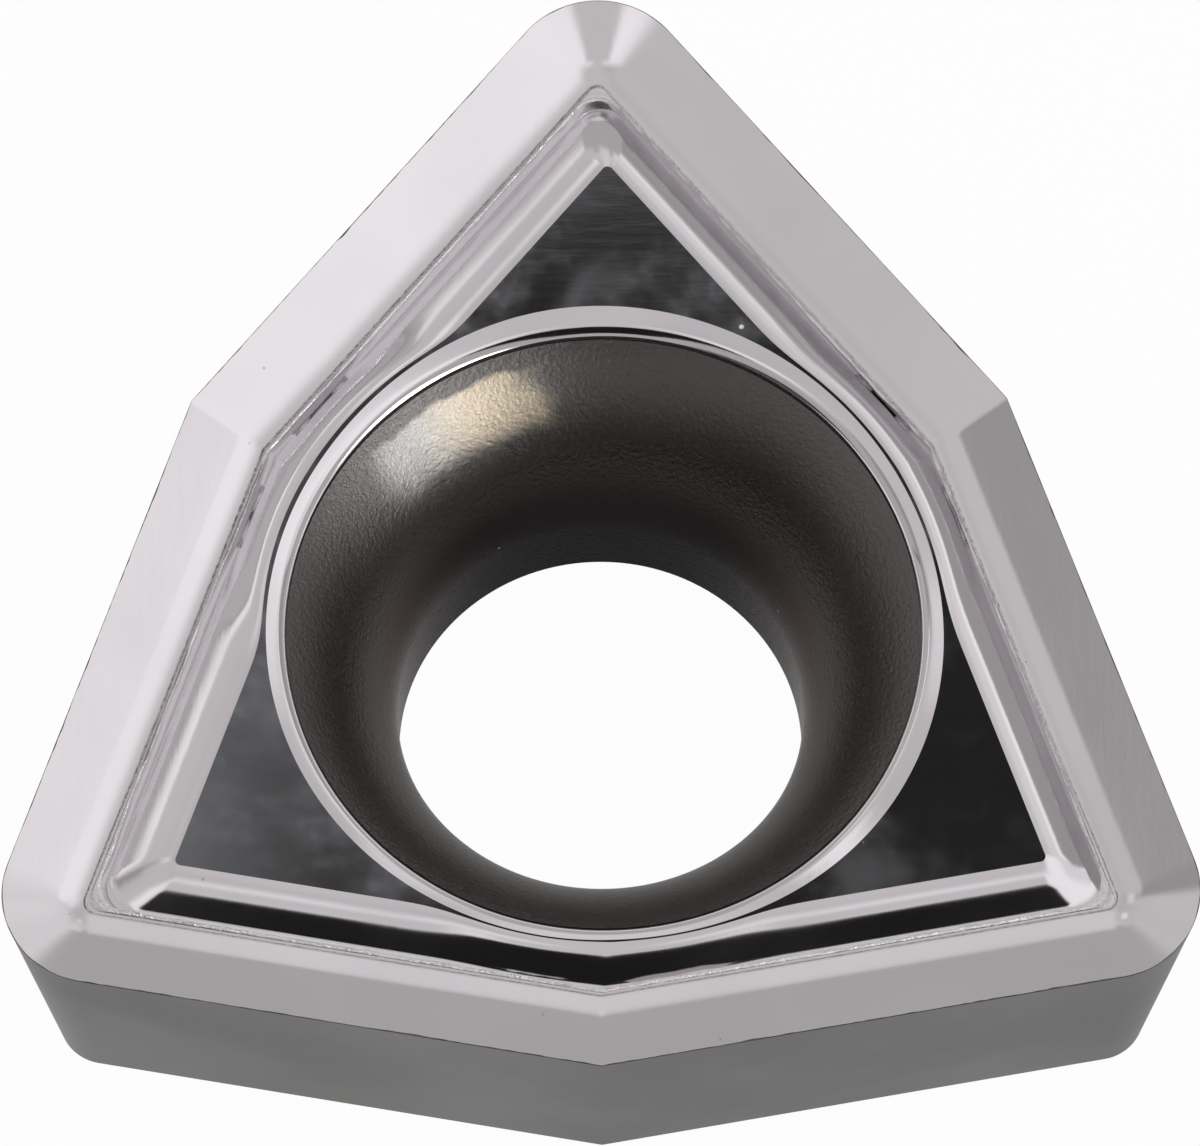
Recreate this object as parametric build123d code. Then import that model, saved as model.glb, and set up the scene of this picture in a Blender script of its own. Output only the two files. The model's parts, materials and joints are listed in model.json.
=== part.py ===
from build123d import *
from math import acos, cos, radians, sin, tan
import os

# A trigon turning insert, one solid of sintered carbide: three 80 degree corners with rounded noses,
# three blunt waists between them, flanks that lean in below the cutting edge, a ground and polished
# chipbreaker round the top, and a screw hole with a hollow curved seat for the screw's head.
# The origin is on the hole's axis, in the seat face. +Z is up, and one corner points along +Y.

# Outline, measured at the cutting edge
inscribed_circle = 7.94
thickness = 3.18
nose_radius = 0.80
corner_angle = 80.0
clearance_angle = 7.0

# Ground rake face: it slopes down behind the cutting edge and runs out in a wide hollow
rake_angle = 20.0
rake_depth = 0.222
rake_hollow_radius = 0.90

# Groove between the rake face and the island
groove_inset = 0.783
groove_depth = 0.33
groove_back_slope = 60.0
groove_corner_radius = 0.18
groove_radius = 0.02

# Island with a lapped flat top, a rounded shoulder and a sloping wall. It was pressed a little
# off centre, with the rim of the hole.
island_inset = 1.22
island_depth = 0.18
island_shift = 0.04
shoulder_radius = 0.95
shoulder_top_slope = 8.0
wall_slope = 24.0

# Round land that keeps the flat top whole outside the hole's rim at the three waists
land_diameter = 5.84
land_shoulder_radius = 0.42
land_wall_slope = 42.0

# Polished rim of the hole, and how far its small round edge is cut back by the mouth of the seat
rim_diameter = 5.78
rim_slope = 12.0
rim_width = 0.14
rim_radius = 0.16
rim_end_slope = 60.0
rim_cut_back = 0.02

# Straight bore, and the rounded seat for the screw's head that flares out from it to the rim
bore_diameter = 3.50
bore_length = 0.83
flare_radius = 2.55

# How far a cutting shape reaches past the solid that it cuts
over = 0.30

apothem = inscribed_circle / 2
normal_turn = 90.0 - corner_angle / 2
waist_turn = 60.0 - normal_turn
corner_directions = [90.0, 210.0, 330.0]
island_top = thickness - island_depth
groove_floor = thickness - groove_depth
island_place = Pos(island_shift, 0, 0)


def outline(reach, corner_radius, height):
    """The trigon whose sides lie at reach from the axis, with its three sharp corners rounded."""
    points = []
    for direction in corner_directions:
        corner = reach / sin(radians(corner_angle / 2))
        waist = reach / cos(radians(waist_turn))
        points.append(Vector(corner, 0).rotate(Axis.Z, direction))
        points.append(Vector(waist, 0).rotate(Axis.Z, direction + 60))
    face = make_face(Polyline(*points, close=True))
    corners = face.vertices().sort_by_distance((0, 0))[3:]
    return Pos(0, 0, height) * fillet(corners, corner_radius)


def taper(low_outline, high_outline):
    """A solid with straight flanks and conical corners between two outlines."""
    return loft([low_outline, high_outline], ruled=True)


def crest(start, radius, slope_in, slope_out):
    """A rounded crest from start, as its downhill slope turns from one angle to another,
    and the crest's end point."""
    def normal(slope):
        return Vector(sin(radians(slope)), cos(radians(slope)))
    centre = start - normal(slope_in) * radius
    middle = centre + normal((slope_in + slope_out) / 2) * radius
    end = centre + normal(slope_out) * radius
    return ThreePointArc(start, middle, end), end


def section_face(edges):
    """The flat face inside a closed run of lines and arcs."""
    return make_face(Curve() + edges)


def turned(section):
    """A section drawn as distance from the axis against height, turned once round the axis."""
    return revolve(Plane.XZ * section, axis=Axis.Z)


def side_prism(section, direction):
    """A section drawn as distance from the axis against height, run along one side of the trigon."""
    outward = Vector(1, 0, 0).rotate(Axis.Z, direction)
    along = Vector(0, -1, 0).rotate(Axis.Z, direction)
    return extrude(Plane((0, 0, 0), x_dir=outward, z_dir=along) * section,
                   amount=inscribed_circle, both=True)


def body():
    """The blank: it leans out from the seat to just above the cutting edge."""
    lean = tan(radians(clearance_angle))
    drop = thickness * lean
    rise = over * lean
    seat = outline(apothem - drop, nose_radius - drop, 0)
    top = outline(apothem + rise, nose_radius + rise, thickness + over)
    return taper(seat, top)


def pocket(floor_reach, corner_radius, floor_height, slope, floor_radius):
    """A hollow with a flat floor, sloping walls up past the top, and a rounded floor edge."""
    rise = (thickness + over - floor_height) / tan(radians(slope))
    floor = outline(floor_reach, corner_radius, floor_height)
    mouth = outline(floor_reach + rise, corner_radius + rise, thickness + over)
    hollow = taper(floor, mouth)
    return fillet(hollow.edges().group_by(Axis.Z)[0], floor_radius)


def rake_cut():
    """What the grinding wheel takes: down and inwards from the cutting edge."""
    run = rake_depth / tan(radians(rake_angle))
    floor_height = thickness - rake_depth
    return pocket(apothem - run, nose_radius - run, floor_height, rake_angle, rake_hollow_radius)


def groove_cut():
    """The pressed pocket round the island."""
    floor_reach = apothem - groove_inset
    return pocket(floor_reach, groove_corner_radius, groove_floor, groove_back_slope, groove_radius)


def rounded_top(edge, radius, slope, behind):
    """Half section of what stands in the groove, as distance from the axis against height.
    The flat top ends at edge, then the shoulder rounds over to the slope of the wall."""
    base = groove_floor - over
    shoulder, wall_start = crest(edge, radius, shoulder_top_slope, slope)
    foot = Vector(wall_start.X + (wall_start.Y - base) / tan(radians(slope)), base)
    return section_face([
        Line((behind, edge.Y), edge),
        shoulder,
        Line(wall_start, foot),
        Line(foot, (behind, base)),
        Line((behind, base), (behind, edge.Y)),
    ])


def island():
    """Six equal sides that meet in mitres, and the round land outside the hole's rim."""
    side_edge = Vector(apothem - island_inset, island_top)
    side = rounded_top(side_edge, shoulder_radius, wall_slope, -inscribed_circle)
    solid = Box(2 * inscribed_circle, 2 * inscribed_circle, 2 * thickness)
    for direction in corner_directions:
        for turn in (-normal_turn, normal_turn):
            solid = solid & side_prism(side, direction + turn)
    land_edge = Vector(land_diameter / 2, island_top)
    land = rounded_top(land_edge, land_shoulder_radius, land_wall_slope, 0)
    return solid + turned(land)


def chipbreaker_cut():
    """All that is taken from the top: the rake face and the groove, less the island."""
    return rake_cut() + groove_cut() - island_place * island()


def rim_cut():
    """The rim of the hole: a gentle slope from the flat top, then a small round edge."""
    top = thickness + over
    outer = Vector(rim_diameter / 2, island_top)
    above = outer + Vector(over, over * tan(radians(rim_slope)))
    inner = outer - Vector(rim_width, rim_width * tan(radians(rim_slope)))
    edge, end = crest(inner, rim_radius, -rim_slope, -rim_end_slope)
    edges = [
        Line((0, end.Y), end),
        edge,
        Line(inner, above),
        Line(above, (above.X, top)),
        Line((above.X, top), (0, top)),
        Line((0, top), (0, end.Y)),
    ]
    return turned(section_face(edges)), end


def hole_cut(rim_end):
    """The straight bore, the flare that the screw's head sits in, and a short upright mouth."""
    bore = bore_diameter / 2
    mouth = rim_end.X + island_shift + rim_cut_back
    turn = acos(1 - (mouth - bore) / flare_radius)
    bore_end = Vector(bore, bore_length)
    flare_middle = bore_end + Vector(1 - cos(turn / 2), sin(turn / 2)) * flare_radius
    flare_end = bore_end + Vector(1 - cos(turn), sin(turn)) * flare_radius
    top = thickness + over
    return turned(section_face([
        Line((0, -over), (bore, -over)),
        Line((bore, -over), bore_end),
        ThreePointArc(bore_end, flare_middle, flare_end),
        Line(flare_end, (mouth, top)),
        Line((mouth, top), (0, top)),
        Line((0, top), (0, -over)),
    ]))


def insert_body():
    """The finished insert."""
    rim, rim_end = rim_cut()
    return body() - chipbreaker_cut() - island_place * rim - hole_cut(rim_end)


os.makedirs("parts", exist_ok=True)
export_step(insert_body(), "parts/insert_body.step")
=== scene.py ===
"""A trigon turning insert of sintered carbide, on a pale studio floor.

The insert is one closed mesh. It is a grid of rows and columns: every row goes once round the insert, and the
rows follow its section from the cutting edge over the chipbreaker into the hole, under the seat and up the
flank.
"""

import json
from math import acos, asin, cos, radians, sin, tan, tanh

import bpy
import numpy as np
from bpy.props import FloatProperty, FloatVectorProperty, IntProperty, PointerProperty
from mathutils import Matrix, Vector


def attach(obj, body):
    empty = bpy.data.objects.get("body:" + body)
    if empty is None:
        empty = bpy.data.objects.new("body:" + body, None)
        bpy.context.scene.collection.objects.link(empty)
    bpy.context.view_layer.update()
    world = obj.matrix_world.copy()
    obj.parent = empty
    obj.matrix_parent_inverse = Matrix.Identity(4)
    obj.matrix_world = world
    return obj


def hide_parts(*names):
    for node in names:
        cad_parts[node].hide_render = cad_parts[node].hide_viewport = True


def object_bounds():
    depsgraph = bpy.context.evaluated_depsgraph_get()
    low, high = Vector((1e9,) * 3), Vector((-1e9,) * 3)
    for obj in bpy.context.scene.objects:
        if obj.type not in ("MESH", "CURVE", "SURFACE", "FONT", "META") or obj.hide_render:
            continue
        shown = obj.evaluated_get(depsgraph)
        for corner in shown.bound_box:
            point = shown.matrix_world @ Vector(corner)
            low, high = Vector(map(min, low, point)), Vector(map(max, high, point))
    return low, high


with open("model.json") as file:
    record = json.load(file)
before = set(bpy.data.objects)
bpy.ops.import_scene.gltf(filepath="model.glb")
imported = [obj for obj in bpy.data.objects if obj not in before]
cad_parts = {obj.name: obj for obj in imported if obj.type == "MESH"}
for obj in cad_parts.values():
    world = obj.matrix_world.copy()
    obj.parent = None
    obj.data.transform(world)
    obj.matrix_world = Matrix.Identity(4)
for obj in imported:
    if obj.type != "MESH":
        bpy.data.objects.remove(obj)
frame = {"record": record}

bl_info = {
    "name": "Trigon insert",
    "version": (1, 0, 0),
    "blender": (4, 5, 0),
    "location": "3D View > Sidebar > Insert",
    "description": "Makes a trigon turning insert and its studio",
    "category": "Add Mesh",
}

NODE = "insert_body"
BODY = "root"
MM = 0.001

# The trigon: three 80 degree corners, and three blunt waists half way between them
HALF_CORNER = radians(40)
NORMAL_TURN = radians(50)
WAIST_TURN = radians(10)
THIRD = radians(120)
FIRST_CORNER = radians(90)
CORNERS = FIRST_CORNER + THIRD * np.arange(3)
WAIST_STEP = THIRD / 2

# What the frame says of the size
cad_low, cad_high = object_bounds()
frame_reach = -cad_low.y * cos(WAIST_TURN)
sharp_corner = frame_reach / sin(HALF_CORNER)
frame_nose = (sharp_corner - cad_high.y) / (1 / sin(HALF_CORNER) - 1)
bore_mount = next(mount for mount in frame["record"]["mounts"] if mount["name"] == "screw_bore")

# The insert's finishes, in the order of its materials
POLISHED, LAPPED, GROUND, SINTERED = range(4)

# How far the groove and the flat top were pressed off centre, towards +X
SHIFT_GROOVE = 0.026 * MM
SHIFT_TOP = 0.080 * MM
# Radius of the crease between the flat top and the hole's rim, from the waist at 30 degrees on
RIM_CREASE = np.array([2.898, 2.952, 2.838, 2.858, 2.838, 2.955]) * MM
# Width of the flat land outside that crease at the waists, and at the corners, where it doesn't show
LAND_WIDTH = np.array([0.026, 0.02, 0.042, 0.02, 0.014, 0.02]) * MM

# The painted highlight, a lighter patch in the screw's seat: the way to it from the axis, the heights between
# which it fades in and out, and the distances to the side between which it fades out
HIGHLIGHT_WAY = (cos(radians(121)), sin(radians(121)))
HIGHLIGHT_HEIGHTS = (2.20 * MM, 2.38 * MM, 2.70 * MM, 2.74 * MM)
HIGHLIGHT_SIDES = (0.55 * MM, 0.95 * MM)

# Tints of single features
BLACK_CHIPS = (0.02, 0.02, 0.02, 1)
DARK_SPECKS = (0.05, 0.05, 0.05, 1)
PALE_DUST = (0.9, 0.9, 0.9, 1)
FROST = (0.86, 0.84, 0.84, 1)
SINTERED_GRAIN = (0.30, 0.29, 0.28, 1)
SINTERED_SPECKS = (0.5, 0.5, 0.48, 1)
# Painted shade: the seat and bore are darker and brownish deeper down, and the next tint darkens the far side
# further
THROAT_SHADE = (0.085, 0.068, 0.064, 1)
FAR_THROAT_SHADE = (0.020, 0.018, 0.018, 1)
# Painted highlight: the silvery and golden tones of the lighter patch in the screw's seat
SILVERY_HIGHLIGHT = (0.385, 0.385, 0.377, 1)
GOLDEN_HIGHLIGHT = (0.60, 0.518, 0.398, 1)

# The softboxes, cards and dark gaps of the studio's ceiling. Each has its centre's place across and away from
# the camera, divided by the height, its half size, the width of its soft edge, and its level. Later ones
# cover earlier ones.
CEILING = {
    "left panel": ((-0.55, -0.05), (0.30, 0.40), 0.10, 0.67),
    "left side": ((-0.94, 0.22), (0.29, 0.40), 0.06, 0.38),
    "far left frame": ((-1.78, 1.30), (0.735, 1.035), 0.012, 0.10),
    "far left": ((-1.78, 1.30), (0.70, 1.00), 0.012, 0.55),
    "right softbox": ((0.76, 0.04), (0.54, 0.50), 0.22, 1.10),
    "right side": ((1.00, 0.28), (0.30, 0.30), 0.08, 0.88),
    "far right": ((1.74, 1.30), (0.70, 1.00), 0.04, 0.39),
    "halo": ((0.0, 0.28), (0.24, 0.34), 0.10, 0.68),
    "back panel": ((0.0, 0.85), (0.42, 0.34), 0.05, 0.72),
    "left back": ((-0.62, 0.90), (0.30, 0.44), 0.07, 0.66),
    "right back": ((0.60, 0.90), (0.32, 0.44), 0.07, 0.84),
    "left back softbox": ((-0.94, 0.85), (0.09, 0.34), 0.04, 1.06),
    "right back softbox": ((0.90, 0.85), (0.10, 0.34), 0.05, 1.06),
    "left far softbox": ((-0.85, 1.38), (0.17, 0.14), 0.05, 0.98),
    "right far softbox": ((0.83, 1.36), (0.17, 0.15), 0.05, 0.98),
    "middle": ((0.0, 0.72), (0.46, 0.27), 0.14, 0.60),
    "back strip": ((0.0, 1.00), (0.15, 0.38), 0.08, 0.80),
    "left card": ((-0.42, 0.42), (0.06, 0.10), 0.05, 0.88),
    "right card": ((0.42, 0.42), (0.06, 0.10), 0.05, 1.00),
    "left back card": ((-0.32, 0.85), (0.06, 0.09), 0.04, 1.06),
    "right back card": ((0.30, 0.89), (0.06, 0.09), 0.04, 0.85),
    "front softbox": ((0.0, -0.26), (0.50, 0.12), 0.09, 1.09),
    "dark gap": ((0.035, 0.370), (0.075, 0.066), 0.03, 0.02),
    "camera gap": ((0.0, -1.15), (0.45, 0.77), 0.015, 0.012),
    "camera": ((0.0, -0.285), (0.21, 0.085), 0.05, 0.67),
    "camera neck": ((0.0, -0.12), (0.085, 0.16), 0.04, 0.68),
    "low front softbox": ((3.6, -2.9), (1.8, 1.5), 0.25, 6.0),
    "low front gap": ((-3.4, -2.9), (1.8, 1.5), 0.25, 0.05),
}


def length(name, description, size):
    """A length that a user may change, in metres."""
    return FloatProperty(name=name, description=description, default=size, unit="LENGTH", precision=5)


def angle(name, description, size):
    """An angle that a user may change, given here in degrees."""
    return FloatProperty(name=name, description=description, default=radians(size), subtype="ANGLE")


def share(name, description, size):
    """A plain number that a user may change."""
    return FloatProperty(name=name, description=description, default=size, precision=3)


def colour(name, description, red, green, blue):
    """A colour that a user may change."""
    return FloatVectorProperty(name=name, description=description, default=(red, green, blue),
                               subtype="COLOR", min=0, max=1)


class InsertSizes(bpy.types.PropertyGroup):
    """Sizes of the insert"""
    reach: length("Reach", "From the axis to a side, at the cutting edge", frame_reach)
    thickness: length("Thickness", "From the seat to the cutting edge", cad_high.z)
    nose_radius: length("Nose radius", "Radius of the corners at the cutting edge", frame_nose)
    clearance: angle("Clearance", "How far the flanks lean in", 7)
    hone: length("Hone", "Width of the rounding on the cutting edge", 0.006 * MM)
    rake: angle("Rake", "Slope of the ground face behind the cutting edge", 20)
    rake_flat: length("Rake flat", "Width of the flat part of the rake face", 0.457 * MM)
    hollow_radius: length("Hollow radius", "Radius of the run-out behind the flat", 1.00 * MM)
    ridge_inset: length("Ridge inset", "From the cutting edge to the rough ridge", 0.722 * MM)
    ridge_width: length("Ridge width", "Width of the rough ridge", 0.028 * MM)
    front_ridge: share("Front ridge", "How much wider the ridge is at the front", 0.5)
    ridge_height: length("Ridge height", "How far the ridge stands up", 0.005 * MM)
    ridge_ripple: length("Ridge ripple", "How far the ridge wanders", 0.004 * MM)
    pit_corner: length("Pit corner", "Corner radius of the rake face at the ridge", 0.09 * MM)
    pit_slope: angle("Pit slope", "How the pit between the rake face and the ridge rises inwards", 5)
    ridge_corner: length("Ridge corner", "Corner radius of the rough ridge in plan", 0.235 * MM)
    groove_inset: length("Groove inset", "From the cutting edge to the foot of the back wall", 0.770 * MM)
    groove_depth: length("Groove depth", "Depth of the groove below the cutting edge", 0.33 * MM)
    groove_back: angle("Groove back", "Slope of the groove's back wall", 60)
    groove_radius: length("Groove radius", "Rounding at the foot of the back wall", 0.004 * MM)
    groove_corner: length("Groove corner", "Corner radius of the groove in plan", 0.235 * MM)
    island_inset: length("Island inset", "From the cutting edge to the flat top", 1.22 * MM)
    island_depth: length("Island depth", "Flat top below the cutting edge", 0.18 * MM)
    shoulder_radius: length("Shoulder radius", "Rounding from the flat top to the wall", 0.95 * MM)
    shoulder_start: angle("Shoulder start", "Slope of the shoulder at the flat top", 8)
    wall: angle("Wall", "Slope of the island's wall", 24)
    flat_corner: length("Flat corner", "Corner radius of the flat top in plan", 0.05 * MM)
    shoulder_corner: length("Shoulder corner", "Growth of the corner radius far down the shoulder", 0.24 * MM)
    land_radius: length("Land radius", "Rounding of the shoulder outside the hole's rim", 0.42 * MM)
    land_wall: angle("Land wall", "Slope of the wall outside the hole's rim", 42)
    land_blend: length("Land blend", "Width of the blend from the straight shoulder to the land", 0.16 * MM)
    rim_slope: angle("Rim slope", "Slope of the rim of the hole", 12)
    rim_radius: length("Rim radius", "Rounding of the rim's inner edge", 0.16 * MM)
    rim_end: angle("Rim end", "Slope of the rounding where the screw's seat begins", 52)
    bowl_radius: length("Bowl radius", "Radius of the screw's seat at the rim", 2.709 * MM)
    bowl_shift: length("Bowl shift", "How far the mouth of the seat is off centre", 0.03 * MM)
    flare_radius: length("Flare radius", "Radius of the curve from the bore out to the rim", 2.55 * MM)
    bore_radius: length("Bore radius", "Radius of the straight bore", bore_mount["dims"]["r_mm"] * MM)
    bore_length: length("Bore length", "Length of the straight bore", bore_mount["dims"]["length_mm"] * MM)
    lower_break: length("Lower edge", "Rounding of the edges round the seat", 0.02 * MM)
    side_columns: IntProperty(name="Side columns", description="Columns of the mesh on one side", default=140)
    nose_columns: IntProperty(name="Nose columns", description="Columns of the mesh round a nose", default=32)


class InsertFinish(bpy.types.PropertyGroup):
    """Colours of the insert's finishes"""
    polished: colour("Polished carbide", "Rake face, shoulder and rim", 0.742, 0.714, 0.735)
    lapped: colour("Lapped carbide", "Flat top", 0.66, 0.67, 0.70)
    ground: colour("Ground carbide", "Flanks and seat", 0.15, 0.1485, 0.1455)
    sintered: colour("Sintered carbide", "Countersink and bore", 0.165, 0.158, 0.150)
    dirt: colour("Dirt", "Dark traces in the rough ridge", 0.035, 0.022, 0.020)


class StudioSettings(bpy.types.PropertyGroup):
    """Camera and light of the studio"""
    camera_distance: length("Camera distance", "From the top of the insert to the camera", 134.06 * MM)
    camera_height: angle("Camera height", "Angle of the camera above the floor", 68.8)
    camera_roll: angle("Camera roll", "How far the camera leans", -0.23)
    aim_up: length("Aim", "How far above the hole's axis the camera points, in the picture", 0.3926 * MM)
    lens: share("Lens", "Focal length in millimetres", 472.5)
    walls: share("Walls", "Light from the studio's walls", 0.50)
    horizon: share("Horizon", "Light from the foot of the walls", 1.0)
    floor_white: share("Floor", "How much of the floor's brightness is its own", 0.97)


def unit(turn):
    """Unit vectors in the plan, at these angles from the X axis."""
    return np.stack([np.cos(turn), np.sin(turn)], axis=-1)


def outline_columns(side_steps, nose_steps):
    """Where the columns of the grid meet any outline of the trigon, as two vectors for each column.

    The point on an outline of reach a and corner radius r is a times the first plus r times the second. On a
    side it slides evenly from the waist to the start of the nose, and round a nose the radius swings.
    """
    slide = np.linspace(0, 1, side_steps + 1)[:, None]
    swing = np.linspace(-NORMAL_TURN, NORMAL_TURN, nose_steps + 1)[1:-1]
    by_reach, by_radius = [], []
    for corner in CORNERS:
        tip = unit(corner) / sin(HALF_CORNER)
        for side in (-1, 1):
            waist = unit(corner + side * WAIST_STEP) / cos(WAIST_TURN)
            normal = unit(corner + side * NORMAL_TURN)
            along = slide if side < 0 else slide[:0:-1]
            by_reach.append(waist + along * (tip - waist))
            by_radius.append(along * (normal - tip))
            if side < 0:
                by_reach.append(np.tile(tip, (len(swing), 1)))
                by_radius.append(unit(corner + swing) - tip)
    return np.concatenate(by_reach), np.concatenate(by_radius)


def between_directions(turns, values):
    """Values given at the waists and corners, from 30 degrees in steps of 60, joined by smooth half waves."""
    place = (turns - (FIRST_CORNER - WAIST_STEP)) / WAIST_STEP % len(values)
    index = np.floor(place).astype(int)
    wave = (1 - np.cos(np.pi * (place - index))) / 2
    values = np.asarray(values)
    return values[index] * (1 - wave) + values[(index + 1) % len(values)] * wave


def ripple(random, count, width):
    """Noise along a closed row: white noise blurred over this many columns, with a spread of one."""
    steps = np.minimum(np.arange(count), count - np.arange(count))
    blur = np.exp(-0.5 * (steps / width) ** 2)
    noise = np.fft.ifft(np.fft.fft(random.standard_normal(count)) * np.fft.fft(blur)).real
    return noise / noise.std()


def crest(radius, slope_in, slope_out, slopes):
    """How far across and down a rounded crest has gone at each slope: the radius times the change of the
    sine, and the radius times the change of the cosine."""
    return radius * (np.sin(slopes) - sin(slope_in)), radius * (cos(slope_in) - np.cos(slopes))


class Skin:
    """The rows of the grid, as they are added."""

    def __init__(self, columns):
        self.columns = columns
        self.rows, self.sharp, self.finish = [], [], []
        self.marks = {}

    def add(self, plan, height, finish, sharp=False, mark=None):
        """One more row: its places in the plan, its height, and the finish of the band behind it."""
        row = np.empty((self.columns, 3))
        row[:, :2] = plan
        row[:, 2] = height
        if mark:
            self.marks[mark] = len(self.rows)
        self.rows.append(row)
        self.sharp.append(sharp)
        self.finish.append(finish)


def rake_rows(skin, sizes, place, random):
    """The honed edge, the flat rake face and the hollow behind it. The outline moves in and down: along the
    rake's slope, then along a crest of the hollow's radius. Fine and broad noise makes the edge uneven."""
    top = sizes.thickness
    count = skin.columns
    wear = np.abs(ripple(random, count, 1.2)) * 0.5 + np.abs(ripple(random, count, 6)) * 0.5
    hone = sizes.hone * (0.5 + wear)
    skin.add(place(sizes.reach - 0.2 * hone, sizes.nose_radius - 0.2 * hone), top - 0.45 * hone, GROUND)
    for index, inset in enumerate([hone, *(sizes.rake_flat * np.array([0.1, 0.4, 0.7, 1.0]))]):
        plan = place(sizes.reach - inset, rake_corner(sizes, inset))
        skin.add(plan, top - inset * tan(sizes.rake), POLISHED, sharp=index == 0)
    run = sizes.ridge_inset - sizes.rake_flat
    last_slope = asin(sin(sizes.rake) - run / sizes.hollow_radius)
    slopes = np.linspace(sizes.rake, last_slope, 15)[1:]
    across, down = crest(sizes.hollow_radius, sizes.rake, last_slope, slopes)
    for step_across, step_down in zip(-across, -down):
        inset = sizes.rake_flat + step_across
        height = top - sizes.rake_flat * tan(sizes.rake) - step_down
        skin.add(place(sizes.reach - inset, rake_corner(sizes, inset)), height, POLISHED)
    skin.sharp[-1] = True
    return inset, height


def rake_corner(sizes, inset):
    """The corner radius of the rake face at an inset: the nose radius less the inset, but it levels out to
    the pit's, along a hyperbola."""
    excess = sizes.nose_radius - inset - sizes.pit_corner
    bend = 0.03 * MM
    return sizes.pit_corner + (excess + np.sqrt(excess ** 2 + bend ** 2)) / 2


def groove_rows(skin, sizes, place, random, inset, height):
    """The rough ridge, the groove's back wall and its rounded foot. Noise makes the ridge wander and stand up
    unevenly, but not round the noses, where the columns lie close."""
    count = skin.columns
    back = sizes.reach - inset
    ring = place(back, sizes.ridge_corner)
    gaps = np.hypot(*(np.roll(ring, -1, axis=0) - ring).T)
    calm = gaps / gaps.max()
    front = 1 + sizes.front_ridge * np.clip((-ring[:, 1] - 1.3 * MM) / (0.9 * MM), 0, 1)
    width = sizes.ridge_width * front
    wander = (ripple(random, count, 5) * 0.6 + ripple(random, count, 1.0) * 0.5) * calm * front ** 2
    lift = sizes.ridge_height * (0.6 + 0.5 * np.abs(ripple(random, count, 1.5)) * calm * front)
    start = place(back - 0.25 * width + 0.4 * sizes.ridge_ripple * wander, sizes.ridge_corner)
    height = height + tan(sizes.pit_slope) * np.hypot(*(start - skin.rows[-1][:, :2]).T)
    skin.add(start, height, POLISHED, sharp=True)
    crown = place(back - 0.55 * width + sizes.ridge_ripple * wander, sizes.ridge_corner)
    skin.add(crown, height + lift, POLISHED, sharp=True, mark="ridge")
    inner = back - width + sizes.ridge_ripple * ripple(random, count, 2) * calm
    skin.add(place(inner, sizes.ridge_corner), height - 0.3 * lift, POLISHED, sharp=True)
    corner = sizes.groove_corner
    floor = sizes.thickness - sizes.groove_depth
    foot = sizes.reach - sizes.groove_inset
    tangent = sizes.groove_radius * tan(sizes.groove_back / 2)
    slopes = np.linspace(sizes.groove_back, 0, 6)
    across, down = crest(sizes.groove_radius, 0, sizes.groove_back, slopes)
    for index, (step_across, step_down) in enumerate(zip(across, down)):
        reach = foot - tangent + step_across
        skin.add(place(reach, corner, SHIFT_GROOVE), floor + step_down, POLISHED, sharp=index == 0)


def island_rows(skin, sizes, place):
    """The island's wall and shoulder, as contours from the groove's floor up to the flat top.

    A contour is the outline of the straight sides at that height, or the round land's circle where that lies
    further out. Where the two are closer than the blend, the contour is the larger one plus a sixth of the
    blend times the cube of how close they are.
    """
    depth = sizes.groove_depth - sizes.island_depth
    slopes = np.linspace(sizes.shoulder_start, sizes.wall, 15)
    across, down = crest(sizes.shoulder_radius, sizes.shoulder_start, sizes.wall, slopes)
    levels = np.concatenate([down, np.linspace(down[-1], depth, 5)[1:]])
    side_foot = across[-1] + (depth - down[-1]) / tan(sizes.wall)
    side_out = np.interp(levels, np.append(down, depth), np.append(across, side_foot))
    land_slopes = np.linspace(sizes.shoulder_start, sizes.land_wall, 40)
    land_across, land_down = crest(sizes.land_radius, sizes.shoulder_start, sizes.land_wall, land_slopes)
    land_foot = land_across[-1] + (depth - land_down[-1]) / tan(sizes.land_wall)
    land_out = np.interp(levels, np.append(land_down, depth), np.append(land_across, land_foot))
    flat = sizes.thickness - sizes.island_depth
    reach = sizes.reach - sizes.island_inset
    for index in reversed(range(len(levels))):
        up = 1 - levels[index] / depth
        shift = SHIFT_GROOVE + (SHIFT_TOP - SHIFT_GROOVE) * up ** 2
        corner = sizes.flat_corner + sizes.shoulder_corner * tanh(side_out[index] / sizes.shoulder_corner)
        sides = place(reach + side_out[index], corner, shift)
        far = np.hypot(*sides.T)
        turns = np.arctan2(sides[:, 1], sides[:, 0])
        circle = between_directions(turns, RIM_CREASE + LAND_WIDTH) + land_out[index]
        near = np.maximum(1 - np.abs(far - circle) / sizes.land_blend, 0)
        contour = np.maximum(far, circle) + sizes.land_blend / 6 * near ** 3
        last = index == 0
        finish = LAPPED if last else POLISHED
        skin.add(sides * (contour / far)[:, None], flat - levels[index], finish, sharp=last)
    return turns


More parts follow.
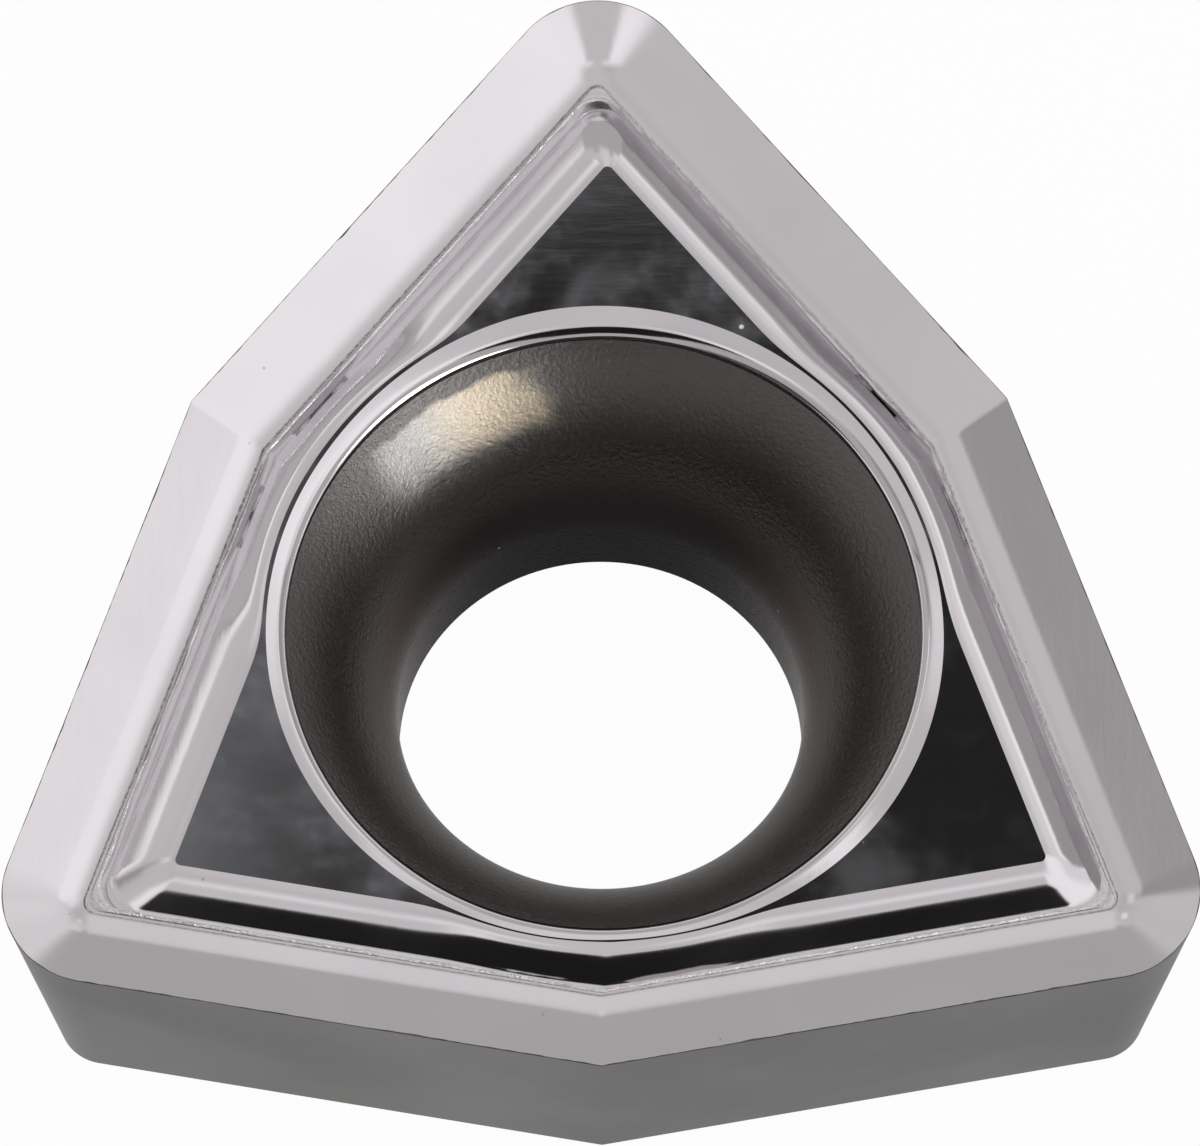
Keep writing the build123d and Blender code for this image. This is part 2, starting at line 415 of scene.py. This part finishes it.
def rim_rows(skin, sizes, turns):
    """The flat top up to the rim's crease, the rim's gentle slope, and its small round edge."""
    flat = sizes.thickness - sizes.island_depth
    outer = skin.rows[-1][:, :2].copy()
    crease = between_directions(turns, RIM_CREASE)
    inner = unit(turns) * crease[:, None]
    for part in (0.05, 0.35, 0.65, 0.95):
        skin.add(outer + part * (inner - outer), flat, LAPPED)
    skin.add(inner, flat, POLISHED, sharp=True)
    bowl, _ = bowl_circle(sizes, turns, 1)
    slopes = np.linspace(sizes.rim_slope, sizes.rim_end, 9)
    across, down = crest(sizes.rim_radius, sizes.rim_slope, sizes.rim_end, slopes)
    slope_width = crease - np.hypot(*bowl.T) - across[-1]
    for part in (0.5, 1.0):
        plan = unit(turns) * (crease - part * slope_width)[:, None]
        skin.add(plan, flat - part * slope_width * tan(sizes.rim_slope), POLISHED)
    fall = slope_width * tan(sizes.rim_slope)
    for step_across, step_down in zip(across[1:], down[1:]):
        plan = unit(turns) * (crease - slope_width - step_across)[:, None]
        skin.add(plan, flat - fall - step_down, POLISHED)
    skin.sharp[-1] = True
    skin.finish[-1] = SINTERED


def bowl_circle(sizes, turns, part):
    """A circle of the screw's seat, from the bore at part 0 to the mouth at part 1, and its height. The
    curve turns evenly: its radius grows by one less the cosine of the turn, and its height by the sine."""
    whole = acos(1 - (sizes.bowl_radius - sizes.bore_radius) / sizes.flare_radius)
    radius = sizes.bore_radius + sizes.flare_radius * (1 - cos(part * whole))
    height = sizes.bore_length + sizes.flare_radius * sin(part * whole)
    return np.array([sizes.bowl_shift * part, 0]) + unit(turns) * radius, height


def hole_rows(skin, sizes, turns):
    """A short upright mouth under the rim, the flare down to the straight bore, and the bore."""
    for part in np.linspace(1, 0, 27):
        circle, height = bowl_circle(sizes, turns, part)
        skin.add(circle, height, SINTERED, sharp=part == 1)
    for height in (0.5 * sizes.bore_length, sizes.lower_break):
        skin.add(unit(turns) * sizes.bore_radius, height, SINTERED)
    skin.sharp[-1] = True


def flank_rows(skin, sizes, place, turns, random):
    """The flat seat out to its edge, and the flank up to the cutting edge: reach and corner radius both grow
    with the height, by the tangent of the clearance angle. Where the noise peaks, the lower edge has nicks
    and the cutting edge has chips."""
    count = skin.columns
    lean = tan(sizes.clearance)
    inner = unit(turns) * (sizes.bore_radius + sizes.lower_break)
    nicks = np.clip(ripple(random, count, 1.5) - 2.2, 0, 1.5) * sizes.lower_break
    edge = sizes.lower_break * 0.6 + nicks
    drop = sizes.thickness * lean
    outer = place(sizes.reach - drop - edge, sizes.nose_radius - drop - edge)
    skin.add(inner, 0, GROUND, sharp=True)
    skin.add(inner + 0.5 * (outer - inner), 0, GROUND)
    skin.add(outer, 0, GROUND, sharp=True)
    start = sizes.lower_break * 0.8 + nicks
    for part in (0, 0.25, 0.5, 0.75, 0.985):
        height = start + part * (sizes.thickness - start)
        drop = (sizes.thickness - height) * lean
        skin.add(place(sizes.reach - drop, sizes.nose_radius - drop), height, GROUND, sharp=part == 0)
    chips = np.clip(ripple(random, count, 0.8) - 1.4, 0, 2) * sizes.hone * 1.2
    height = sizes.thickness - sizes.hone * 1.1 - chips
    drop = (sizes.thickness - height) * lean
    skin.add(place(sizes.reach - drop, sizes.nose_radius - drop), height, GROUND, sharp=True, mark="edge")


def skin_mesh(skin, name):
    """The closed mesh of the grid, whose last row and column meet the first, with its sharp rows marked and a
    UV map that holds, in metres, the way along the outline and the way along the section."""
    rows, columns = len(skin.rows), skin.columns
    points = np.array(skin.rows)
    row = np.arange(rows)[:, None] * columns
    column = np.arange(columns)
    next_row = np.roll(row, -1, axis=0)
    next_column = np.roll(column, -1)
    corners = [row + column, row + next_column, next_row + next_column, next_row + column]
    faces = np.stack(corners, axis=-1).reshape(-1, 4)
    mesh = bpy.data.meshes.new(name)
    mesh.from_pydata(points.reshape(-1, 3), [], faces.tolist())
    mesh.polygons.foreach_set("use_smooth", np.ones(len(faces), bool))
    mesh.polygons.foreach_set("material_index", np.repeat(skin.finish, columns).astype(np.int32))
    edges = np.empty(len(mesh.edges) * 2, np.int32)
    mesh.edges.foreach_get("vertices", edges)
    edge_rows = edges.reshape(-1, 2) // columns
    sharp = (edge_rows[:, 0] == edge_rows[:, 1]) & np.array(skin.sharp)[edge_rows[:, 0]]
    mesh.attributes.new("sharp_edge", "BOOLEAN", "EDGE").data.foreach_set("value", sharp)
    ring = skin.rows[0][:, :2]
    along = np.append(0, np.cumsum(np.hypot(*(np.roll(ring, -1, axis=0) - ring).T)))
    steps = np.linalg.norm(np.roll(points, -1, axis=0) - points, axis=2).mean(axis=1)
    across = np.append(0, np.cumsum(steps))
    u = np.stack([along[:-1], along[1:], along[1:], along[:-1]], axis=-1)
    v = np.stack([across[:-1], across[:-1], across[1:], across[1:]], axis=-1)
    uv = np.empty((rows, columns, 4, 2))
    uv[..., 0] = u[None]
    uv[..., 1] = v[:, None]
    mesh.uv_layers.new(name="profile").data.foreach_set("uv", uv.ravel())
    mesh.update()
    mesh.validate()
    return mesh, {mark: float(across[index]) for mark, index in skin.marks.items()}


class Wiring:
    """Short ways to add and join the nodes of one tree. Each gives the socket with its result."""

    def __init__(self, tree):
        self.tree = tree

    def add(self, kind, **settings):
        """A new node with these settings."""
        node = self.tree.nodes.new("ShaderNode" + kind)
        for name, value in settings.items():
            setattr(node, name, value)
        return node

    def put(self, socket, value):
        """Joins a socket to another one, or sets it to a plain value."""
        if isinstance(value, bpy.types.NodeSocket):
            self.tree.links.new(value, socket)
        else:
            socket.default_value = value

    def parts(self, vector):
        """The three parts of a vector."""
        node = self.add("SeparateXYZ")
        self.put(node.inputs[0], vector)
        return node.outputs

    def math(self, operation, *values, clamp=False):
        node = self.add("Math", operation=operation, use_clamp=clamp)
        for socket, value in zip(node.inputs, values):
            self.put(socket, value)
        return node.outputs[0]

    def vector(self, operation, *values):
        node = self.add("VectorMath", operation=operation)
        for socket, value in zip(node.inputs, values):
            self.put(socket, value)
        return node.outputs["Value" if operation in ("DOT_PRODUCT", "LENGTH", "DISTANCE") else "Vector"]

    def step(self, value, low, high, start=0.0, end=1.0):
        """A smooth step from start to end as the value goes from low to high."""
        node = self.add("MapRange", interpolation_type="SMOOTHSTEP")
        for socket, given in zip(node.inputs, (value, low, high, start, end)):
            self.put(socket, given)
        return node.outputs["Result"]

    def noise(self, place, scale, detail=2.0, roughness=0.5, distortion=0.0):
        """Fractal noise, from 0 to 1."""
        node = self.add("TexNoise")
        self.put(node.inputs["Vector"], place)
        self.put(node.inputs["Scale"], scale)
        self.put(node.inputs["Detail"], detail)
        self.put(node.inputs["Roughness"], roughness)
        self.put(node.inputs["Distortion"], distortion)
        return node.outputs["Fac"]

    def mix(self, amount, first, second, kind="RGBA"):
        """A mix of two colours or, of kind FLOAT, two numbers. Its sockets of each kind differ only by their
        identifiers."""
        node = self.add("Mix", data_type=kind)
        ending = {"RGBA": "Color", "FLOAT": "Float"}[kind]
        inputs = {socket.identifier: socket for socket in node.inputs}
        outputs = {socket.identifier: socket for socket in node.outputs}
        self.put(inputs["Factor_Float"], amount)
        self.put(inputs["A_" + ending], first)
        self.put(inputs["B_" + ending], second)
        return outputs["Result_" + ending]

    def both(self, *masks):
        """Where all the masks hold: their product."""
        whole = masks[0]
        for mask in masks[1:]:
            whole = self.math("MULTIPLY", whole, mask)
        return whole

    def group(self, tree, **values):
        """Places a node group, with its inputs set by name, where an underscore stands for a space."""
        node = self.add("Group", node_tree=tree)
        for name, value in values.items():
            self.put(node.inputs[name.replace("_", " ")], value)
        return node.outputs[0]


def effect(name, result, inputs):
    """A new node group with one result. Gives its tree, its wiring and its inputs by name."""
    tree = bpy.data.node_groups.new(name, "ShaderNodeTree")
    for label, (kind, value) in inputs.items():
        socket = tree.interface.new_socket(label, in_out="INPUT", socket_type="NodeSocket" + kind)
        if value is not None:
            socket.default_value = value
    tree.interface.new_socket(result, in_out="OUTPUT", socket_type="NodeSocketFloat")
    wiring = Wiring(tree)
    given = tree.nodes.new("NodeGroupInput").outputs
    out = tree.nodes.new("NodeGroupOutput").inputs[0]
    return tree, wiring, given, out


def cloud_effect():
    """Soft clouds: fractal noise between two levels."""
    tree, wiring, given, out = effect("soft_clouds", "Amount", {
        "Place": ("Vector", None), "Scale": ("Float", 800.0), "Low": ("Float", 0.4),
        "High": ("Float", 0.65)})
    noise = wiring.noise(given["Place"], given["Scale"], detail=4.0, roughness=0.55, distortion=0.3)
    wiring.put(out, wiring.step(noise, given["Low"], given["High"]))
    return tree


def speck_effect():
    """Sparse round specks: the middles of those cells whose own random value is high enough."""
    tree, wiring, given, out = effect("specks", "Amount", {
        "Place": ("Vector", None), "Scale": ("Float", 6000.0), "Share": ("Float", 0.05),
        "Size": ("Float", 0.25)})
    cells = wiring.add("TexVoronoi", feature="F1")
    wiring.put(cells.inputs["Vector"], given["Place"])
    wiring.put(cells.inputs["Scale"], given["Scale"])
    chance = wiring.add("SeparateColor")
    wiring.put(chance.inputs[0], cells.outputs["Color"])
    chosen = wiring.math("LESS_THAN", chance.outputs[0], given["Share"])
    spread = wiring.both(given["Size"], wiring.math("ADD", chance.outputs[1], 0.4))
    dot = wiring.step(cells.outputs["Distance"], wiring.math("MULTIPLY", spread, 0.5), spread, 1.0, 0.0)
    wiring.put(out, wiring.both(dot, chosen))
    return tree


def grain_effect():
    """Directed marks: noise on places that are squeezed across the marks and stretched along them."""
    tree, wiring, given, out = effect("directed_marks", "Height", {
        "Place": ("Vector", None), "Squeeze": ("Vector", (1.0, 1.0, 1.0)), "Scale": ("Float", 10000.0)})
    squeezed = wiring.vector("MULTIPLY", given["Place"], given["Squeeze"])
    wiring.put(out, wiring.noise(squeezed, given["Scale"], detail=3.0, roughness=0.6))
    return tree


def line_effect():
    """A broken, ragged line along the section map: near one distance across, where noise along it allows."""
    tree, wiring, given, out = effect("ragged_line", "Amount", {
        "Map": ("Vector", None), "Place": ("Vector", None), "Centre": ("Float", 0.0),
        "Width": ("Float", 1e-5), "Raggedness": ("Float", 1.0), "Scale": ("Float", 20000.0),
        "Breaks": ("Float", 900.0), "Gaps": ("Float", 0.5)})
    across = wiring.parts(given["Map"])["Y"]
    off = wiring.math("ABSOLUTE", wiring.math("SUBTRACT", across, given["Centre"]))
    rough = wiring.noise(given["Place"], given["Scale"], detail=3.0, roughness=0.7)
    swing = wiring.math("MULTIPLY", wiring.math("SUBTRACT", rough, 0.5), given["Raggedness"])
    broad = wiring.noise(given["Place"], given["Breaks"], detail=2.0)
    present = wiring.step(broad, given["Gaps"], wiring.math("ADD", given["Gaps"], 0.08))
    half = wiring.both(given["Width"], wiring.both(wiring.math("ADD", swing, 1.0), present))
    full = wiring.math("MULTIPLY", half, 0.6)
    wiring.put(out, wiring.step(off, full, wiring.math("ADD", half, 1e-7), 1.0, 0.0))
    return tree


def band_effect():
    """A band along the section map. It fades in between the first two distances across, and out between the
    other two."""
    tree, wiring, given, out = effect("section_band", "Amount", {
        "Map": ("Vector", None), "Start": ("Float", 0.0), "Full": ("Float", 1e-5), "Fade": ("Float", 4e-5),
        "End": ("Float", 5e-5)})
    across = wiring.parts(given["Map"])["Y"]
    rise = wiring.step(across, given["Start"], given["Full"])
    fall = wiring.step(across, given["Fade"], given["End"], 1.0, 0.0)
    wiring.put(out, wiring.both(rise, fall))
    return tree


class Finish:
    """A new material with its metal shader, and the places and the section map that its patterns read. The
    edge is how much of the metal's brightening at a flat angle is kept."""

    def __init__(self, name, tint, roughness, edge=1.0):
        self.material = bpy.data.materials.new(name)
        self.material.use_nodes = True
        tree = self.material.node_tree
        self.wiring = Wiring(tree)
        self.shader = tree.nodes["Principled BSDF"].inputs
        self.shader["Metallic"].default_value = 1.0
        self.shader["Base Color"].default_value = (*tint, 1)
        self.shader["Roughness"].default_value = roughness
        self.shader["Specular Tint"].default_value = (edge, edge, edge, 1)
        self.tint = (*tint, 1)
        self.place = self.wiring.add("TexCoord").outputs["Object"]
        self.map = self.wiring.add("UVMap", uv_map="profile").outputs[0]

    def darker(self, share):
        """The tint at this share of its brightness."""
        return (*(share * part for part in self.tint[:3]), 1)

    def paint(self, base_colour, roughness):
        """Gives the shader its colour and its roughness."""
        self.wiring.put(self.shader["Base Color"], base_colour)
        self.wiring.put(self.shader["Roughness"], roughness)

    def emboss(self, *layers):
        """Bumps, each with its height pattern and its depth in metres."""
        normal = None
        for height, depth in layers:
            bump = self.wiring.add("Bump")
            self.wiring.put(bump.inputs["Height"], height)
            bump.inputs["Distance"].default_value = depth
            if normal is not None:
                self.wiring.put(bump.inputs["Normal"], normal)
            normal = bump.outputs["Normal"]
        self.wiring.put(self.shader["Normal"], normal)


def polished_finish(colours, effects, marks):
    """Polished carbide: a bright face with a few specks and faint marks. The ridge at the rake's foot is
    bumpy and frosted, most at the front, and holds dirt at the left. The groove's back wall is duller."""
    made = Finish("polished_carbide", colours.polished, 0.08)
    wiring = made.wiring
    place = wiring.parts(made.place)

    def ridge_band(*distances):
        """A band along the section map, given by four distances from the ridge."""
        start, full, fade, end = (marks["ridge"] + distance for distance in distances)
        return wiring.group(effects["band"], Map=made.map, Start=start, Full=full, Fade=fade, End=end)

    haze = wiring.group(effects["clouds"], Place=made.place, Scale=420.0, Low=0.35, High=0.7)
    specks = wiring.group(effects["specks"], Place=made.place, Scale=8000.0, Share=0.03, Size=0.12)
    dirt = wiring.group(effects["line"], Map=made.map, Place=made.place, Centre=marks["ridge"], Width=1.5e-5,
                        Raggedness=1.6, Scale=26000.0, Breaks=700.0, Gaps=0.42)
    at_left = wiring.step(place["X"], -2.6 * MM, -1.9 * MM, 1.0, 0.12)
    dirt = wiring.both(dirt, at_left)
    at_front = wiring.step(place["Y"], -2.2 * MM, -1.2 * MM, 1.0, 0.35)
    near_ridge = wiring.both(ridge_band(-1.5e-4, -0.4e-4, 1.5e-5, 5.0e-5), at_front)
    frost = wiring.both(ridge_band(-0.5e-4, -0.2e-4, 1.5e-5, 5.0e-5), at_front)
    back_wall = ridge_band(1.0e-5, 2.0e-5, 1.2e-4, 1.6e-4)

    shade = wiring.mix(haze, made.tint, made.darker(0.95))
    shade = wiring.mix(wiring.math("MULTIPLY", specks, 0.3), shade, (*colours.dirt, 1))
    shade = wiring.mix(dirt, shade, (*colours.dirt, 1))
    shade = wiring.mix(frost, shade, FROST)
    rough = wiring.mix(haze, 0.075, 0.125, kind="FLOAT")
    rough = wiring.mix(dirt, rough, 0.45, kind="FLOAT")
    rough = wiring.mix(frost, rough, 0.24, kind="FLOAT")
    rough = wiring.mix(back_wall, rough, 0.34, kind="FLOAT")
    made.paint(shade, rough)

    waves = wiring.noise(made.place, 450.0, detail=2.0)
    polish_marks = wiring.group(effects["grain"], Place=made.place, Squeeze=(1.0, 0.12, 1.0), Scale=16000.0)
    bumps = wiring.both(wiring.noise(made.place, 22000.0, detail=4.0, roughness=0.7), near_ridge)
    made.emboss((waves, 6e-6), (polish_marks, 2.5e-7), (bumps, 2.4e-5))
    return made.material


def lapped_finish(colours, effects, marks):
    """Lapped flat top: a dark mirror whose haze comes in clouds, with fine scratches and dust."""
    made = Finish("lapped_carbide", colours.lapped, 0.06)
    wiring = made.wiring
    clouds = wiring.group(effects["clouds"], Place=made.place, Scale=750.0, Low=0.40, High=0.72)
    fine = wiring.group(effects["clouds"], Place=made.place, Scale=3200.0, Low=0.48, High=0.75)
    dust = wiring.group(effects["specks"], Place=made.place, Scale=9000.0, Share=0.04, Size=0.2)
    haze = wiring.math("ADD", clouds, wiring.math("MULTIPLY", fine, 0.35), clamp=True)
    rough = wiring.mix(haze, 0.035, 0.11, kind="FLOAT")
    made.paint(wiring.mix(dust, made.tint, PALE_DUST), wiring.mix(dust, rough, 0.6, kind="FLOAT"))
    scratches = wiring.group(effects["grain"], Place=made.place, Squeeze=(0.15, 1.0, 1.0), Scale=9000.0)
    made.emboss((scratches, 1.2e-7))
    return made.material


def ground_finish(colours, effects, marks):
    """Ground flank and seat: satin, with fine marks along the flank and small chips at the cutting edge."""
    made = Finish("ground_carbide", colours.ground, 0.38, edge=0.72)
    wiring = made.wiring
    clouds = wiring.group(effects["clouds"], Place=made.place, Scale=300.0, Low=0.3, High=0.7)
    chips = wiring.group(effects["line"], Map=made.map, Place=made.place, Centre=marks["edge"], Width=1.4e-5,
                         Raggedness=2.4, Scale=30000.0, Breaks=2500.0, Gaps=0.35)
    specks = wiring.group(effects["specks"], Place=made.place, Scale=7000.0, Share=0.03, Size=0.2)
    shade = wiring.mix(clouds, made.tint, made.darker(0.88))
    shade = wiring.mix(chips, shade, BLACK_CHIPS)
    shade = wiring.mix(wiring.math("MULTIPLY", specks, 0.5), shade, DARK_SPECKS)
    made.paint(shade, wiring.mix(clouds, 0.36, 0.42, kind="FLOAT"))
    grinding = wiring.group(effects["grain"], Place=made.place, Squeeze=(0.3, 0.3, 6.0), Scale=9000.0)
    made.emboss((grinding, 6e-7))
    return made.material


def painted_highlight_patch(wiring, place, height):
    """The distance to the side of the painted highlight, a lighter patch, and where the patch is: the product
    of two steps in height, a step to each side and a step along the way to it, the first three made ragged by
    noise."""
    along = wiring.vector("DOT_PRODUCT", place, (*HIGHLIGHT_WAY, 0))
    aside = wiring.vector("DOT_PRODUCT", place, (HIGHLIGHT_WAY[1], -HIGHLIGHT_WAY[0], 0))
    noise = wiring.noise(place, 2500.0, detail=4.0)
    ragged = wiring.math("MULTIPLY", wiring.math("SUBTRACT", noise, 0.5), 0.5 * MM)
    height = wiring.math("ADD", height, wiring.math("MULTIPLY", ragged, 0.3))
    far = wiring.math("ADD", wiring.math("ABSOLUTE", aside), ragged)
    start, full, fade, end = HIGHLIGHT_HEIGHTS
    return aside, wiring.both(
        wiring.step(height, start, full),
        wiring.step(height, fade, end, 1.0, 0.0),
        wiring.step(far, *HIGHLIGHT_SIDES, 1.0, 0.0),
        wiring.step(along, 0.0, 1.0 * MM))


def sintered_finish(colours, effects, marks):
    """Screw's seat and bore as they came from the furnace: matte and grainy, with painted shade that makes
    them darker and brownish down in the throat and darker still on the far side of it, and a painted
    highlight in one place."""
    made = Finish("sintered_carbide", colours.sintered, 0.42, edge=0.45)
    wiring = made.wiring
    place = wiring.parts(made.place)
    clouds = wiring.group(effects["clouds"], Place=made.place, Scale=350.0, Low=0.3, High=0.7)
    grain = wiring.noise(made.place, 22000.0, detail=4.0, roughness=0.7)
    throat = wiring.step(place["Z"], 1.3 * MM, 2.5 * MM, 1.0, 0.0)
    far_side = wiring.step(place["Y"], 0.0, 1.6 * MM)
    # Painted highlight: a lighter patch in the seat, silvery to one side and golden to the other
    aside, patch = painted_highlight_patch(wiring, made.place, place["Z"])
    highlight_tone = wiring.mix(wiring.step(aside, -0.5 * MM, 0.3 * MM), SILVERY_HIGHLIGHT, GOLDEN_HIGHLIGHT)
    specks = wiring.group(effects["specks"], Place=made.place, Scale=4500.0, Share=0.03, Size=0.10)

    shade = wiring.mix(clouds, made.tint, made.darker(0.85))
    shade = wiring.mix(wiring.math("MULTIPLY", grain, 0.3), shade, SINTERED_GRAIN)
    # Painted shade: darker and brownish deeper in the throat, and darker still on its far side
    shade = wiring.mix(throat, shade, THROAT_SHADE)
    shade = wiring.mix(wiring.both(throat, far_side), shade, FAR_THROAT_SHADE)
    shade = wiring.mix(patch, shade, highlight_tone)
    shade = wiring.mix(wiring.math("MULTIPLY", specks, 0.6), shade, SINTERED_SPECKS)
    made.paint(shade, wiring.mix(grain, 0.22, 0.40, kind="FLOAT"))
    made.emboss((grain, 8e-6))
    return made.material


def softbox_effect():
    """One soft-edged rectangle on the ceiling: 1 inside it, and 0 outside."""
    tree, wiring, given, out = effect("softbox", "Amount", {
        "Ceiling": ("Vector", None), "Centre": ("Vector", (0, 0, 0)), "Half": ("Vector", (1, 1, 1)),
        "Edge": ("Float", 0.05)})
    off = wiring.vector("ABSOLUTE", wiring.vector("SUBTRACT", given["Ceiling"], given["Centre"]))
    inside = wiring.parts(wiring.vector("SUBTRACT", given["Half"], off))
    outer = wiring.math("MULTIPLY", given["Edge"], -1.0)
    masks = [wiring.step(inside[axis], outer, given["Edge"]) for axis in ("X", "Y")]
    wiring.put(out, wiring.both(*masks))
    return tree


def studio_world(settings):
    """A tent of soft light: pale walls down to the floor, and softboxes with dark gaps between them overhead.
    The place on the ceiling is the direction's X and Y divided by its height."""
    world = bpy.data.worlds.new("studio")
    world.use_nodes = True
    wiring = Wiring(world.node_tree)
    direction = wiring.parts(wiring.add("TexCoord").outputs["Generated"])
    height = wiring.math("MAXIMUM", direction["Z"], 0.02)
    ceiling = wiring.add("CombineXYZ")
    for axis in ("X", "Y"):
        wiring.put(ceiling.inputs[axis], wiring.math("DIVIDE", direction[axis], height))
    softbox = softbox_effect()
    level = settings.walls
    for centre, half, edge, brightness in CEILING.values():
        amount = wiring.group(softbox, Ceiling=ceiling.outputs[0], Centre=(*centre, 0), Half=(*half, 1),
                              Edge=edge)
        level = wiring.mix(amount, level, brightness, kind="FLOAT")
    above_horizon = wiring.step(direction["Z"], 0.08, 0.16)
    level = wiring.mix(above_horizon, settings.horizon, level, kind="FLOAT")
    background = world.node_tree.nodes["Background"].inputs
    wiring.put(background["Color"], (1.0, 0.985, 0.99, 1))
    wiring.put(background["Strength"], level)
    bpy.context.scene.world = world


def studio_floor(settings):
    """A wide pale floor in the plane of the seat. Most of its brightness is its own, for the eye and for
    reflections, and the rest takes the insert's shadow."""
    half = 0.6
    corners = [(-half, -half, 0), (half, -half, 0), (half, half, 0), (-half, half, 0)]
    mesh = bpy.data.meshes.new("floor")
    mesh.from_pydata(corners, [], [(0, 1, 2, 3)])
    floor = bpy.data.objects.new("floor", mesh)
    bpy.context.scene.collection.objects.link(floor)
    material = bpy.data.materials.new("pale_floor")
    material.use_nodes = True
    wiring = Wiring(material.node_tree)
    shader = material.node_tree.nodes["Principled BSDF"]
    shader.inputs["Base Color"].default_value = (0.82, 0.82, 0.82, 1)
    shader.inputs["Roughness"].default_value = 0.9
    glow = wiring.add("Emission")
    glow.inputs["Strength"].default_value = 1.0
    light_path = wiring.add("LightPath").outputs
    seen = wiring.math("ADD", light_path["Is Camera Ray"], light_path["Is Glossy Ray"], clamp=True)
    seen = wiring.math("ADD", seen, light_path["Is Transmission Ray"], clamp=True)
    mixed = wiring.add("MixShader")
    wiring.put(mixed.inputs[0], wiring.math("MULTIPLY", seen, settings.floor_white))
    wiring.put(mixed.inputs[1], shader.outputs[0])
    wiring.put(mixed.inputs[2], glow.outputs[0])
    wiring.put(material.node_tree.nodes["Material Output"].inputs["Surface"], mixed.outputs[0])
    mesh.materials.append(material)


def studio_camera(settings, top):
    """The camera of the photograph: high in front of the insert, with a long lens."""
    back = Vector((0, -cos(settings.camera_height), sin(settings.camera_height)))
    level_right = Vector((1, 0, 0))
    level_up = back.cross(level_right)
    roll = settings.camera_roll
    right = level_right * cos(roll) + level_up * sin(roll)
    up = back.cross(right)
    data = bpy.data.cameras.new("camera")
    data.lens = settings.lens
    data.sensor_width = 36
    data.clip_start, data.clip_end = 0.01, 10
    camera = bpy.data.objects.new("camera", data)
    bpy.context.scene.collection.objects.link(camera)
    place = Vector((0, 0, top)) + back * settings.camera_distance + up * settings.aim_up
    camera.matrix_world = Matrix((right, up, back)).transposed().to_4x4()
    camera.location = place
    bpy.context.scene.camera = camera


class MakeInsert(bpy.types.Operator):
    """Makes the insert with its four finishes"""
    bl_idname = "trigon.make_insert"
    bl_label = "Make the insert"

    def execute(self, context):
        sizes = context.scene.insert_sizes
        colours = context.scene.insert_finish
        by_reach, by_radius = outline_columns(sizes.side_columns, sizes.nose_columns)
        skin = Skin(len(by_reach))
        random = np.random.default_rng(7)

        def place(reach, radius, shift=0.0):
            """The outline of this reach and corner radius, moved towards +X."""
            spread = np.reshape(reach, (-1, 1)) * by_reach + np.reshape(radius, (-1, 1)) * by_radius
            return spread + [shift, 0]

        inset, height = rake_rows(skin, sizes, place, random)
        groove_rows(skin, sizes, place, random, inset, height)
        turns = island_rows(skin, sizes, place)
        rim_rows(skin, sizes, turns)
        hole_rows(skin, sizes, turns)
        flank_rows(skin, sizes, place, turns, random)
        mesh, marks = skin_mesh(skin, "trigon_insert")
        effects = {"clouds": cloud_effect(), "specks": speck_effect(), "grain": grain_effect(),
                   "line": line_effect(), "band": band_effect()}
        for finish in (polished_finish, lapped_finish, ground_finish, sintered_finish):
            mesh.materials.append(finish(colours, effects, marks))
        insert = bpy.data.objects.new("trigon_insert", mesh)
        context.scene.collection.objects.link(insert)
        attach(insert, BODY)
        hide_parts(NODE)
        return {"FINISHED"}


class MakeStudio(bpy.types.Operator):
    """Makes the floor, the light and the camera"""
    bl_idname = "trigon.make_studio"
    bl_label = "Make the studio"

    def execute(self, context):
        settings = context.scene.studio_settings
        studio_floor(settings)
        studio_world(settings)
        studio_camera(settings, context.scene.insert_sizes.thickness)
        context.scene.view_settings.view_transform = "Standard"
        return {"FINISHED"}


class InsertPanel(bpy.types.Panel):
    """The insert's sizes, finishes and studio"""
    bl_idname = "VIEW3D_PT_trigon_insert"
    bl_label = "Trigon insert"
    bl_space_type = "VIEW_3D"
    bl_region_type = "UI"
    bl_category = "Insert"

    def draw(self, context):
        scene = context.scene
        for group, operator in ((scene.insert_sizes, MakeInsert), (scene.insert_finish, None),
                                (scene.studio_settings, MakeStudio)):
            column = self.layout.column()
            for name in group.__annotations__:
                column.prop(group, name)
            if operator:
                column.operator(operator.bl_idname)


CLASSES = (InsertSizes, InsertFinish, StudioSettings, MakeInsert, MakeStudio, InsertPanel)
GROUPS = {"insert_sizes": InsertSizes, "insert_finish": InsertFinish, "studio_settings": StudioSettings}


def register():
    for made in CLASSES:
        bpy.utils.register_class(made)
    for name, group in GROUPS.items():
        setattr(bpy.types.Scene, name, PointerProperty(type=group))


def unregister():
    for name in GROUPS:
        delattr(bpy.types.Scene, name)
    for made in reversed(CLASSES):
        bpy.utils.unregister_class(made)


def main():
    register()
    bpy.ops.trigon.make_insert()
    bpy.ops.trigon.make_studio()


if __name__ == "__main__":
    main()
